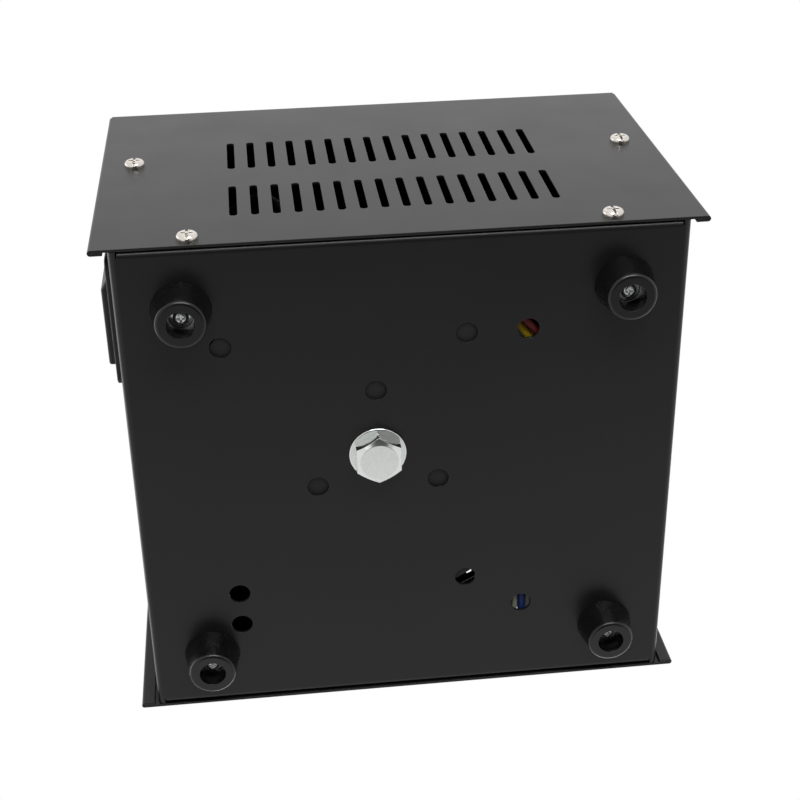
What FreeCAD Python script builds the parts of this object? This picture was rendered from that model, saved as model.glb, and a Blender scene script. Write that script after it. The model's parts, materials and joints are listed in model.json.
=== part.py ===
import FreeCAD, Part
import math
import os
import re

import Sketcher

# A step-up voltage converter: a folded steel chassis on four rubber feet, a folded cover with
# slotted sides, and a toroidal transformer clamped to the chassis by one hexagon bolt.
# Millimetres, +Z up, the front panel faces -Y, the origin lies on the ground under the middle.

V = FreeCAD.Vector
doc = FreeCAD.newDocument("StepUpConverter")

# Driving dimensions: alias, value
SIZES = [
    # folded cover
    ("cover_overhang", 6.8),
    ("cover_width", 203.2),
    ("cover_height", 150.4),
    ("cover_sheet", 1.0),
    ("cover_bend", 2.2),
    ("hem_width", 5.2),
    ("hem_slit", 0.2),
    ("hem_notch", 1.0),
    # vents
    ("vent_count", 16),
    ("vent_pitch", 8.0),
    ("vent_width", 3.0),
    ("vent_length", 30.3),
    ("vent_low", 25.7),
    ("vent_row_step", 49.7),
    # folded chassis
    ("chassis_length", 209.0),
    ("chassis_sheet", 1.2),
    ("chassis_bend", 2.4),
    ("side_gap", 0.3),
    ("top_gap", 0.3),
    ("base_flange", 13.0),
    ("panel_flange", 14.0),
    ("top_flange", 12.0),
    ("bend_relief", 0.8),
    # cover screws
    ("upper_screw_inset", 6.5),
    ("upper_screw_rise", 84.6),
    ("lower_screw_inset", 27.9),
    ("lower_screw_rise", 6.2),
    ("cover_screw_thread", 4.0),
    ("cover_screw_head", 8.0),
    ("cover_screw_head_rise", 2.4),
    ("cover_screw_length", 8.0),
    ("clearance_hole_play", 0.25),
    ("thread_play", 0.05),
    ("clinch_nut_width", 7.0),
    ("clinch_nut_rise", 3.2),
    # feet
    ("foot_height", 13.0),
    ("foot_inset_x", 23.4),
    ("foot_inset_y", 23.8),
    ("foot_base", 22.2),
    ("foot_ground", 18.4),
    ("foot_edge", 1.3),
    ("foot_bore_mouth", 10.4),
    ("foot_bore_seat", 8.6),
    ("foot_bore_depth", 8.6),
    ("foot_washer_sheet", 0.8),
    ("foot_screw_thread", 3.0),
    ("foot_screw_head", 5.7),
    ("foot_screw_head_rise", 2.1),
    ("foot_screw_length", 11.0),
    ("foot_nut_width", 5.5),
    ("foot_nut_height", 2.4),
    # centre bolt
    ("bolt_x", 12.5),
    ("bolt_y", -11.6),
    ("bolt_thread", 10.0),
    ("bolt_head_width", 17.0),
    ("bolt_head_height", 6.2),
    ("bolt_end", 5.0),
    ("base_washer_size", 22.0),
    ("base_washer_sheet", 1.6),
    # transformer
    ("lower_pad_margin", 1.0),
    ("lower_pad_sheet", 3.0),
    ("lower_pad_shift_x", 2.3),
    ("lower_pad_shift_y", -4.0),
    ("pad_hole", 24.0),
    ("toroid_room", 17.75),
    ("toroid_hole", 46.0),
    ("toroid_height", 70.0),
    ("toroid_corner", 16.0),
    ("wrap_wall", 1.2),
    ("secondary_wall", 5.0),
    ("primary_wall", 6.0),
    ("upper_pad_inset", 14.0),
    ("upper_pad_sheet", 3.0),
    ("dish_inset", 20.0),
    ("dish_sheet", 2.0),
    ("dish_well", 34.0),
    ("dish_drop", 4.0),
    ("top_washer_size", 20.0),
    ("top_washer_sheet", 2.0),
    ("spring_washer_size", 18.0),
    ("spring_washer_sheet", 2.2),
    ("bolt_nut_height", 8.0),
    # punched holes of the bottom plate
    ("punch_size", 8.3),
    ("punch_ring", 26.8),
    ("punch_right_x", 61.0),
    ("punch_left_x", -48.3),
    ("punch_far_x", -63.2),
    ("punch_front_y", -67.9),
    ("punch_inner_y", 22.5),
    ("punch_rear_y", 45.5),
    # outlets
    ("outlet_inset", 36.3),
    ("outlet_low_rise", 31.0),
    ("outlet_step", 62.0),
    ("outlet_flange_width", 50.2),
    ("outlet_flange_height", 50.0),
    ("outlet_flange_shift", 5.9),
    ("outlet_flange_sheet", 2.0),
    ("outlet_face", 30.5),
    ("outlet_face_rise", 5.2),
    ("outlet_slope", 5.8),
    ("outlet_corner", 3.5),
    ("outlet_depth", 15.0),
    ("outlet_rear_play", 0.4),
    ("outlet_screw_spread", 20.1),
    ("pole_spread", 8.0),
    ("pole_drop", 4.0),
    ("earth_lift", 6.0),
    ("pole_bore", 5.6),
    ("pole_depth", 14.0),
    ("blade_slot_length", 7.4),
    ("blade_slot_width", 2.2),
    ("contact_wall", 0.4),
    ("contact_length", 7.0),
    ("tab_width", 6.3),
    ("tab_sheet", 0.8),
    ("tab_reach", 5.0),
    ("trim_screw_thread", 3.0),
    ("trim_screw_head", 5.6),
    ("trim_screw_length", 9.0),
    ("trim_nut_width", 5.5),
    ("trim_nut_height", 2.4),
    # power switch
    ("controls_inset", 50.3),
    ("switch_rise", 105.0),
    ("bezel_width", 25.4),
    ("bezel_height", 31.4),
    ("bezel_sheet", 2.0),
    ("bezel_corner", 2.0),
    ("switch_body_width", 21.4),
    ("switch_body_height", 28.4),
    ("switch_depth", 22.0),
    ("rocker_width", 16.6),
    ("rocker_length", 23.2),
    ("rocker_play", 0.5),
    ("rocker_end_play", 1.35),
    ("rocker_well", 13.0),
    ("rocker_tilt", 11.0),
    ("rocker_crown", 5.8),
    ("rocker_waist", 3.6),
    ("rocker_keel", 6.0),
    ("pivot_depth", 3.6),
    ("pivot_size", 3.6),
    ("pivot_reach", 1.6),
    ("pivot_play", 0.08),
    # reset breaker
    ("breaker_rise", 66.0),
    ("neck_size", 11.0),
    ("neck_reach", 3.4),
    ("breaker_width", 14.0),
    ("breaker_height", 32.0),
    ("breaker_depth", 28.0),
    ("button_size", 6.8),
    ("button_reach", 2.6),
    ("button_bore_depth", 12.0),
    ("button_play", 0.1),
    ("button_end_play", 0.5),
    ("ring_nut_width", 15.0),
    ("ring_nut_height", 2.6),
    # power inlet
    ("inlet_inset", 48.3),
    ("inlet_rise", 38.0),
    ("inlet_flange_width", 59.0),
    ("inlet_flange_height", 32.0),
    ("inlet_flange_sheet", 3.0),
    ("inlet_corner", 4.0),
    ("inlet_body_width", 33.0),
    ("inlet_body_height", 26.0),
    ("inlet_depth", 30.0),
    ("inlet_recess_width", 29.0),
    ("inlet_recess_height", 21.6),
    ("inlet_recess_depth", 19.0),
    ("inlet_recess_corner", 3.0),
    ("inlet_screw_spread", 24.6),
    ("blade_width", 8.0),
    ("blade_sheet", 2.0),
    ("blade_length", 16.5),
    ("blade_spread", 6.5),
    ("blade_row", 3.6),
    # earth stud
    ("earth_offset", 44.0),
    ("earth_rise", 30.0),
    ("earth_thread", 4.0),
    ("earth_head", 8.0),
    ("earth_head_rise", 2.4),
    ("earth_length", 14.0),
    ("earth_washer_size", 9.0),
    ("earth_washer_sheet", 0.8),
    ("earth_nut_width", 7.0),
    ("earth_nut_height", 3.2),
    # leads and their push-on receptacles
    ("heavy_lead_size", 3.6),
    ("light_lead_size", 2.8),
    ("receptacle_wall", 0.7),
    ("receptacle_grip", 8.0),
    ("barrel_length", 5.5),
    ("barrel_wall", 0.6),
    ("barrel_depth", 4.0),
]

sheet = doc.addObject("Spreadsheet::Sheet", "Sizes")
for row, (alias, value) in enumerate(SIZES, start=1):
    sheet.set(f"A{row}", alias)
    sheet.set(f"B{row}", str(value))
    sheet.setAlias(f"B{row}", alias)
doc.recompute()
ALIASES = {alias for alias, value in SIZES}


# Expressions
def bound(expression):
    """The expression with each alias written as a cell of the sheet."""
    return re.sub(
        r"[a-z][a-z0-9_]*",
        lambda word: f"Sizes.{word.group(0)}" if word.group(0) in ALIASES else word.group(0),
        expression,
    )


def number(expression):
    """What an expression comes to now."""
    return float(sheet.evalExpression(bound(expression)))


# Heights and reaches that several pieces share
BASE = "foot_height"
PLATE_TOP = "(foot_height + chassis_sheet)"
ROOF = "(foot_height + cover_height)"
PANEL_TOP = "(foot_height + cover_height - cover_sheet - top_gap)"
COVER_SIDE = "(cover_width/2)"
COVER_INSIDE = "(cover_width/2 - cover_sheet)"
CHASSIS_SIDE = "(cover_width/2 - cover_sheet - side_gap)"
PANEL_FACE = "(chassis_length/2)"
COVER_END = "(chassis_length/2 + cover_overhang)"
PANEL_INSIDE = "(chassis_length/2 - chassis_sheet)"
FLANGE_INSIDE = f"({CHASSIS_SIDE} - chassis_sheet)"
UPPER_SCREW_Y = f"({PANEL_FACE} - upper_screw_inset)"
LOWER_SCREW_Y = f"({PANEL_FACE} - lower_screw_inset)"
UPPER_SCREW_Z = "(foot_height + upper_screw_rise)"
LOWER_SCREW_Z = "(foot_height + lower_screw_rise)"
FOOT_X = f"({CHASSIS_SIDE} - foot_inset_x)"
FOOT_Y = f"({PANEL_FACE} - foot_inset_y)"
OUTLET_X = f"({CHASSIS_SIDE} - outlet_inset)"
OUTLET_SCREW_X = f"({OUTLET_X} + outlet_flange_shift)"
CONTROLS_X = f"(controls_inset - {CHASSIS_SIDE})"
INLET_X = f"(inlet_inset - {CHASSIS_SIDE})"
EARTH_X = f"({INLET_X} + earth_offset)"

# The transformer fills the room that the bolt's place leaves beside it and in front of it
TOROID_RADIUS = f"(({CHASSIS_SIDE} - bolt_x + {PANEL_INSIDE} + bolt_y)/2 - toroid_room)"


# Sketch helpers
def origin_feature(body, role):
    return [feature for feature in body.Origin.OriginFeatures if feature.Role == role][0]


def new_sketch(body, name, role, offset="0"):
    sketch = body.newObject("Sketcher::SketchObject", name)
    sketch.AttachmentSupport = [(origin_feature(body, role), "")]
    sketch.MapMode = "FlatFace"
    sketch.setExpression(".AttachmentOffset.Base.z", bound(offset))
    return sketch


def fix(sketch, axis, geometry, point, expression):
    """Holds one coordinate of a point at what an expression says."""
    index = sketch.addConstraint(
        Sketcher.Constraint("Distance" + axis, -1, 1, geometry, point, number(expression))
    )
    name = f"c{index}"
    sketch.renameConstraint(index, name)
    sketch.setExpression(f"Constraints.{name}", bound(expression))


def rounded(corners):
    """Nodes of a closed right-angled outline. A corner is (x, y) or (x, y, radius)."""
    nodes = []
    values = [(number(c[0]), number(c[1])) for c in corners]
    for i, corner in enumerate(corners):
        if len(corner) == 2:
            nodes.append((corner[0], corner[1], None))
            continue
        x, y, radius = corner
        here, before, after = values[i], values[i - 1], values[(i + 1) % len(corners)]
        back = [(b > h) - (b < h) if abs(b - h) > 1e-6 else 0 for b, h in zip(before, here)]
        ahead = [(a > h) - (a < h) if abs(a - h) > 1e-6 else 0 for a, h in zip(after, here)]
        start = (f"({x}) + ({back[0]})*({radius})", f"({y}) + ({back[1]})*({radius})")
        end = (f"({x}) + ({ahead[0]})*({radius})", f"({y}) + ({ahead[1]})*({radius})")
        centre = (
            f"({x}) + ({back[0] + ahead[0]})*({radius})",
            f"({y}) + ({back[1] + ahead[1]})*({radius})",
        )
        turn = -back[0] * ahead[1] + back[1] * ahead[0]
        nodes.append((start[0], start[1], (centre[0], centre[1], turn > 0)))
        nodes.append((end[0], end[1], None))
    return nodes


def loop(sketch, nodes):
    """A closed loop. A node is (x, y, arc): arc is None for a line to the next node, or
    (centre x, centre y, anticlockwise) for an arc to it."""
    count = len(nodes)
    at = [(number(node[0]), number(node[1])) for node in nodes]
    first = sketch.GeometryCount
    ends = []
    for i, (x, y, arc) in enumerate(nodes):
        start, end = V(*at[i], 0), V(*at[(i + 1) % count], 0)
        if arc is None:
            sketch.addGeometry(Part.LineSegment(start, end), False)
            ends.append((1, 2))
            continue
        centre = V(number(arc[0]), number(arc[1]), 0)
        radius = (start - centre).Length
        a, b = (start, end) if arc[2] else (end, start)
        angle_a = math.atan2(a.y - centre.y, a.x - centre.x)
        angle_b = math.atan2(b.y - centre.y, b.x - centre.x)
        if angle_b <= angle_a:
            angle_b += 2 * math.pi
        circle = Part.Circle(centre, V(0, 0, 1), radius)
        sketch.addGeometry(Part.ArcOfCircle(circle, angle_a, angle_b), False)
        ends.append((1, 2) if arc[2] else (2, 1))
    for i in range(count):
        j = (i + 1) % count
        sketch.addConstraint(
            Sketcher.Constraint("Coincident", first + i, ends[i][1], first + j, ends[j][0])
        )
    for i, (x, y, arc) in enumerate(nodes):
        fix(sketch, "X", first + i, ends[i][0], x)
        fix(sketch, "Y", first + i, ends[i][0], y)
        if arc is not None:
            level = abs(at[i][1] - at[(i + 1) % count][1]) < 1e-6
            fix(sketch, "Y" if level else "X", first + i, 3, arc[1] if level else arc[0])


def circle(sketch, x, y, radius):
    index = sketch.addGeometry(Part.Circle(V(number(x), number(y), 0), V(0, 0, 1), number(radius)))
    fix(sketch, "X", index, 3, x)
    fix(sketch, "Y", index, 3, y)
    constraint = sketch.addConstraint(Sketcher.Constraint("Radius", index, number(radius)))
    name = f"c{constraint}"
    sketch.renameConstraint(constraint, name)
    sketch.setExpression(f"Constraints.{name}", bound(radius))


def rectangle(sketch, x, y, width, height, radius=None):
    corners = []
    for sx, sy in ((-1, -1), (1, -1), (1, 1), (-1, 1)):
        corner = (f"({x}) + ({sx})*({width})/2", f"({y}) + ({sy})*({height})/2")
        corners.append(corner if radius is None else corner + (radius,))
    loop(sketch, rounded(corners))


def slot(sketch, x, low, high, width):
    """An upright slot with round ends."""
    left, right = f"({x}) - ({width})/2", f"({x}) + ({width})/2"
    bottom, top = f"({low}) + ({width})/2", f"({high}) - ({width})/2"
    loop(
        sketch,
        [
            (left, bottom, (x, bottom, True)),
            (right, bottom, None),
            (right, top, (x, top, True)),
            (left, top, None),
        ],
    )


# Feature helpers
def new_body(label):
    return doc.addObject("PartDesign::Body", label)


def pad(body, sketch, length, symmetric=False, reverse=False):
    feature = body.newObject("PartDesign::Pad", sketch.Name + "_pad")
    feature.Profile = sketch
    feature.setExpression("Length", bound(length))
    if symmetric:
        feature.SideType = "Symmetric"
    feature.Reversed = reverse
    return feature


def pocket(body, sketch, length, symmetric=True, reverse=False):
    feature = body.newObject("PartDesign::Pocket", sketch.Name + "_cut")
    feature.Profile = sketch
    feature.setExpression("Length", bound(length))
    if symmetric:
        feature.SideType = "Symmetric"
    feature.Reversed = reverse
    return feature


def revolve(body, sketch):
    feature = body.newObject("PartDesign::Revolution", sketch.Name + "_turned")
    feature.Profile = sketch
    feature.ReferenceAxis = (sketch, ["V_Axis"])
    feature.Angle = 360
    return feature


def place(thing, x="0", y="0", z="0"):
    thing.setExpression(".Placement.Base.x", bound(x))
    thing.setExpression(".Placement.Base.y", bound(y))
    thing.setExpression(".Placement.Base.z", bound(z))
    return thing


def turned(label, corners, x="0", y="0", z="0", direction="up"):
    """A piece turned about its own axis: corners are (radius, height along the axis)."""
    body = new_body(label)
    sketch = new_sketch(body, label + "_section", "XZ_Plane")
    loop(sketch, [c if len(c) == 3 else (c[0], c[1], None) for c in corners])
    revolve(body, sketch)
    body.Placement = FreeCAD.Placement(V(), DIRECTIONS[direction])
    return place(body, x, y, z)


# A turned or drawn piece's own +Z points this way
DIRECTIONS = {
    "up": FreeCAD.Rotation(),
    "right": FreeCAD.Rotation(V(0, 1, 0), 90),
    "front": FreeCAD.Rotation(V(1, 0, 0), 90),
    "rear": FreeCAD.Rotation(V(1, 0, 0), -90),
    "down": FreeCAD.Rotation(V(1, 0, 0), 180),
}


def mirrored(label, source, across):
    feature = doc.addObject("Part::Mirroring", label)
    feature.Source = source
    feature.Normal = {"x": V(1, 0, 0), "y": V(0, 1, 0), "z": V(0, 0, 1)}[across]
    feature.Base = V(0, 0, 0)
    return feature


def group(label, pieces):
    feature = doc.addObject("Part::Compound", label)
    feature.Links = pieces
    return feature


def four_corners(label, source):
    """The source and its mirror images about both upright middle planes, as one group."""
    right_rear = mirrored(label + "_b", source, "y")
    left_front = mirrored(label + "_c", source, "x")
    left_rear = mirrored(label + "_d", right_rear, "x")
    return group(label, [source, right_rear, left_front, left_rear])


def hexagon(sketch, across_flats, first_corner=90):
    """Six corners about the middle, the first at that angle from the sketch's level axis."""
    corners = []
    for i in range(6):
        angle = first_corner + 60 * i
        corners.append(
            (f"({across_flats})/sqrt(3)*cos({angle})", f"({across_flats})/sqrt(3)*sin({angle})", None)
        )
    loop(sketch, corners)


def nut(label, width, height, bore, x="0", y="0", z="0", direction="up"):
    body = new_body(label)
    sketch = new_sketch(body, label + "_outline", "XY_Plane")
    hexagon(sketch, width)
    circle(sketch, "0", "0", bore)
    pad(body, sketch, height)
    body.Placement = FreeCAD.Placement(V(), DIRECTIONS[direction])
    return place(body, x, y, z)


NODES = []


def keep(feature):
    NODES.append(feature)
    return feature


# Folded chassis: bottom, front and rear panel in one sheet, with flanges for the cover's screws
def chassis():
    body = new_body("chassis")
    inner_bend = "(chassis_bend - chassis_sheet)"
    channel = new_sketch(body, "channel", "YZ_Plane")
    outer, inner = PANEL_FACE, PANEL_INSIDE
    lip = f"({PANEL_FACE} - top_flange)"
    loop(
        channel,
        rounded(
            [
                (f"-{lip}", PANEL_TOP),
                (f"-{outer}", PANEL_TOP, "chassis_bend"),
                (f"-{outer}", BASE, "chassis_bend"),
                (outer, BASE, "chassis_bend"),
                (outer, PANEL_TOP, "chassis_bend"),
                (lip, PANEL_TOP),
                (lip, f"{PANEL_TOP} - chassis_sheet"),
                (inner, f"{PANEL_TOP} - chassis_sheet", inner_bend),
                (inner, PLATE_TOP, inner_bend),
                (f"-{inner}", PLATE_TOP, inner_bend),
                (f"-{inner}", f"{PANEL_TOP} - chassis_sheet", inner_bend),
                (f"-{lip}", f"{PANEL_TOP} - chassis_sheet"),
            ]
        ),
    )
    bend_line = f"({CHASSIS_SIDE} - chassis_bend)"
    pad(body, channel, f"2*{bend_line}", symmetric=True)

    bend_end = "(chassis_bend + bend_relief/2)"
    corner_bends = new_sketch(body, "corner_bends", "YZ_Plane")
    for t in (1, -1):
        loop(
            corner_bends,
            rounded(
                [
                    (f"({t})*({outer} - {bend_end})", BASE),
                    (f"({t})*{outer}", BASE, "chassis_bend"),
                    (f"({t})*{outer}", f"{BASE} + {bend_end}"),
                    (f"({t})*{inner}", f"{BASE} + {bend_end}"),
                    (f"({t})*{inner}", PLATE_TOP, inner_bend),
                    (f"({t})*({outer} - {bend_end})", PLATE_TOP),
                ]
            ),
        )
    pad(body, corner_bends, f"2*{CHASSIS_SIDE}", symmetric=True)

    # The side flange stands full height between the panels' flanges and stays low under them
    root = f"({bend_line} - bend_relief)"
    stages = (
        ("base_flanges", "base_flange", "panel_flange + bend_relief"),
        ("base_bends", bend_end, "chassis_bend + bend_relief"),
    )
    for name, rise, inset in stages:
        side = new_sketch(body, name, "XZ_Plane")
        for s in (1, -1):
            loop(
                side,
                rounded(
                    [
                        (f"({s})*{root}", BASE),
                        (f"({s})*{CHASSIS_SIDE}", BASE, "chassis_bend"),
                        (f"({s})*{CHASSIS_SIDE}", f"{BASE} + {rise}"),
                        (f"({s})*{FLANGE_INSIDE}", f"{BASE} + {rise}"),
                        (f"({s})*{FLANGE_INSIDE}", PLATE_TOP, inner_bend),
                        (f"({s})*{root}", PLATE_TOP),
                    ]
                ),
            )
        pad(body, side, f"2*({PANEL_FACE} - ({inset}))", symmetric=True)

    lip = f"({PANEL_FACE} - panel_flange)"
    corners = new_sketch(body, "panel_flanges", "XY_Plane", f"{BASE} + chassis_bend + bend_relief")
    for s in (1, -1):
        for t in (1, -1):
            loop(
                corners,
                rounded(
                    [
                        (f"({s})*{root}", f"({t})*{outer}"),
                        (f"({s})*{CHASSIS_SIDE}", f"({t})*{outer}", "chassis_bend"),
                        (f"({s})*{CHASSIS_SIDE}", f"({t})*{lip}"),
                        (f"({s})*{FLANGE_INSIDE}", f"({t})*{lip}"),
                        (f"({s})*{FLANGE_INSIDE}", f"({t})*{inner}", inner_bend),
                        (f"({s})*{root}", f"({t})*{inner}"),
                    ]
                ),
            )
    pad(
        body,
        corners,
        f"{PANEL_TOP} - {BASE} - 2*(chassis_bend + bend_relief)",
    )

    through = "4*chassis_sheet"
    holes = new_sketch(body, "base_holes", "XY_Plane", f"{BASE} + chassis_sheet/2")
    circle(holes, "bolt_x", "bolt_y", "bolt_thread/2 + clearance_hole_play")
    for s in (1, -1):
        for t in (1, -1):
            hole = "foot_screw_thread/2 + clearance_hole_play"
            circle(holes, f"({s})*{FOOT_X}", f"({t})*{FOOT_Y}", hole)
    for x, y in PUNCHED:
        circle(holes, x, y, "punch_size/2")
    pocket(body, holes, through)

    front = new_sketch(body, "front_openings", "XZ_Plane", f"{PANEL_FACE} - chassis_sheet/2")
    for z in OUTLET_LEVELS:
        rectangle(front, OUTLET_X, z, "outlet_face", "outlet_face")
        for s in (1, -1):
            level = f"{z} + ({s})*outlet_screw_spread"
            circle(front, OUTLET_SCREW_X, level, "trim_screw_thread/2 + clearance_hole_play")
    opening = "outlet_rear_play"
    rectangle(
        front,
        CONTROLS_X,
        SWITCH_Z,
        f"switch_body_width + {opening}",
        f"switch_body_height + {opening}",
    )
    circle(front, CONTROLS_X, BREAKER_Z, "neck_size/2 + clearance_hole_play")
    pocket(body, front, through)

    rear = new_sketch(body, "rear_openings", "XZ_Plane", f"-{PANEL_FACE} + chassis_sheet/2")
    rectangle(
        rear,
        INLET_X,
        INLET_Z,
        f"inlet_body_width + {opening}",
        f"inlet_body_height + {opening}",
    )
    for s in (1, -1):
        x = f"{INLET_X} + ({s})*inlet_screw_spread"
        circle(rear, x, INLET_Z, "trim_screw_thread/2 + clearance_hole_play")
    circle(rear, EARTH_X, EARTH_Z, "earth_thread/2 + clearance_hole_play")
    pocket(body, rear, through)

    side_holes = new_sketch(body, "flange_holes", "YZ_Plane")
    for s in (1, -1):
        for y, z in ((UPPER_SCREW_Y, UPPER_SCREW_Z), (LOWER_SCREW_Y, LOWER_SCREW_Z)):
            circle(side_holes, f"({s})*{y}", z, "cover_screw_thread/2 + clearance_hole_play")
    cut = pocket(body, side_holes, "2*cover_width")
    body.Tip = cut
    return keep(body)


# Folded cover: top and two sides in one sheet, hemmed along its front and rear edges
def hem(face, side, end, level):
    """One hem's section. face is the skin's outer coordinate, side and end its signs; a level
    hem lies in a sketch whose first axis runs along the cover."""
    start = f"({COVER_END} - cover_sheet - hem_slit/2)"
    back = f"({COVER_END} - hem_width)"
    fold = f"({face} - cover_sheet - hem_slit/2)"
    skin = f"({face} - cover_sheet)"
    return_skin = f"({skin} - hem_slit)"
    return_face = f"({return_skin} - cover_sheet)"
    steps = [
        (face, start, True),
        (return_face, start, None),
        (return_face, back, None),
        (return_skin, back, None),
        (return_skin, start, False),
        (skin, start, None),
    ]
    nodes = []
    for across, along, turn in steps:
        u, v = f"({side})*{across}", f"({end})*{along}"
        middle = (f"({side})*{fold}", f"({end})*{start}")
        if level:
            u, v, middle = v, u, (middle[1], middle[0])
        if turn is not None:
            turn = turn if (side * end > 0) != level else not turn
        nodes.append((u, v, None if turn is None else (middle[0], middle[1], turn)))
    return nodes


def cover():
    body = new_body("cover")
    inner_bend = "(cover_bend - cover_sheet)"
    section = new_sketch(body, "cover_section", "XZ_Plane")
    loop(
        section,
        rounded(
            [
                (f"-{COVER_SIDE}", BASE),
                (f"-{COVER_INSIDE}", BASE),
                (f"-{COVER_INSIDE}", f"{ROOF} - cover_sheet", inner_bend),
                (COVER_INSIDE, f"{ROOF} - cover_sheet", inner_bend),
                (COVER_INSIDE, BASE),
                (COVER_SIDE, BASE),
                (COVER_SIDE, ROOF, "cover_bend"),
                (f"-{COVER_SIDE}", ROOF, "cover_bend"),
            ]
        ),
    )
    pad(body, section, f"2*({COVER_END} - cover_sheet) - hem_slit", symmetric=True)

    side_hems = new_sketch(body, "side_hems", "XY_Plane", BASE)
    for side in (1, -1):
        for end in (1, -1):
            loop(side_hems, hem(COVER_SIDE, side, end, level=False))
    pad(body, side_hems, "cover_height - cover_bend - hem_notch")

    top_hems = new_sketch(body, "top_hems", "YZ_Plane")
    for end in (1, -1):
        loop(top_hems, hem(ROOF, 1, end, level=True))
    pad(body, top_hems, "cover_width - 2*(cover_bend + hem_notch)", symmetric=True)

    holes = new_sketch(body, "cover_holes", "YZ_Plane")
    for s in (1, -1):
        for y, z in ((UPPER_SCREW_Y, UPPER_SCREW_Z), (LOWER_SCREW_Y, LOWER_SCREW_Z)):
            circle(holes, f"({s})*{y}", z, "cover_screw_thread/2 + clearance_hole_play")
    pocket(body, holes, "2*cover_width")

    first = "-vent_pitch*(vent_count - 1)/2"
    for name, rise in (("low", "vent_low"), ("high", "vent_low + vent_row_step")):
        vent = new_sketch(body, f"{name}_vent", "YZ_Plane")
        slot(vent, first, f"{BASE} + {rise}", f"{BASE} + {rise} + vent_length", "vent_width")
        cut = pocket(body, vent, "2*cover_width")
        row = body.newObject("PartDesign::LinearPattern", f"{name}_vents")
        row.Originals = [cut]
        row.Direction = (origin_feature(body, "Y_Axis"), [""])
        row.setExpression("Length", bound("vent_pitch*(vent_count - 1)"))
        row.setExpression("Occurrences", bound("vent_count"))
        body.Tip = row
    return keep(body)


# Fasteners
def pan_screw(label, thread, head, rise, length, x, y, z, direction):
    section = rounded(
        [
            ("0", f"-{length}"),
            (f"{thread}/2", f"-{length}"),
            (f"{thread}/2", "0"),
            (f"{head}/2", "0"),
            (f"{head}/2", rise, f"0.7*{rise}"),
            ("0", rise),
        ]
    )
    screw = turned(label, section, x, y, z, direction)
    screw.Tip = cross_recess(screw, label, head, rise)
    return screw


def sunk_screw(label, thread, head, length, x, y, z, direction):
    section = [
        ("0", f"-{length}"),
        (f"{thread}/2", f"-{length}"),
        (f"{thread}/2", f"({thread} - {head})/2"),
        (f"{head}/2", "0"),
        ("0", "0"),
    ]
    screw = turned(label, section, x, y, z, direction)
    screw.Tip = cross_recess(screw, label, head, "0")
    return screw


def slotted(screw, label, head, rise):
    """A straight slot across the whole head, over the cross."""
    sketch = new_sketch(screw, label + "_slot", "XY_Plane", rise)
    rectangle(sketch, "0", "0", f"1.1*{head}", f"0.12*{head}")
    return pocket(screw, sketch, f"0.45*{rise}", symmetric=False)


def cross_recess(screw, label, head, top):
    """A cross-shaped driver recess cut into the head's top."""
    sketch = new_sketch(screw, label + "_recess", "XY_Plane", top)
    arm, wing = f"0.27*{head}", f"0.065*{head}"
    quarter = [(wing, arm), (wing, wing), (arm, wing)]
    corners = []
    for sx, sy, step in ((1, 1, 1), (1, -1, -1), (-1, -1, 1), (-1, 1, -1)):
        corners += [(f"({sx})*{x}", f"({sy})*{y}", None) for x, y in quarter[::step]]
    loop(sketch, corners)
    return pocket(screw, sketch, f"0.22*{head}", symmetric=False)


def washer(label, size, thickness, bore, x, y, z, direction="up"):
    section = [(bore, "0"), (f"{size}/2", "0"), (f"{size}/2", thickness), (bore, thickness)]
    return turned(label, section, x, y, z, direction)


def cover_fasteners():
    screws, nuts = [], []
    places = (("upper", UPPER_SCREW_Y, UPPER_SCREW_Z), ("lower", LOWER_SCREW_Y, LOWER_SCREW_Z))
    for name, y, z in places:
        screw = pan_screw(
            f"{name}_cover_screw",
            "cover_screw_thread",
            "cover_screw_head",
            "cover_screw_head_rise",
            "cover_screw_length",
            COVER_SIDE,
            y,
            z,
            "right",
        )
        slot_label = f"{name}_cover_screw"
        screw.Tip = slotted(screw, slot_label, "cover_screw_head", "cover_screw_head_rise")
        screws.append(four_corners(f"{name}_cover_screws", screw))
        clinch = nut(
            f"{name}_clinch_nut",
            "clinch_nut_width",
            "clinch_nut_rise",
            "cover_screw_thread/2 + thread_play",
            f"{FLANGE_INSIDE} - clinch_nut_rise",
            y,
            z,
            "right",
        )
        nuts.append(four_corners(f"{name}_clinch_nuts", clinch))
    keep(group("cover_screws", screws))
    keep(group("clinch_nuts", nuts))


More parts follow.
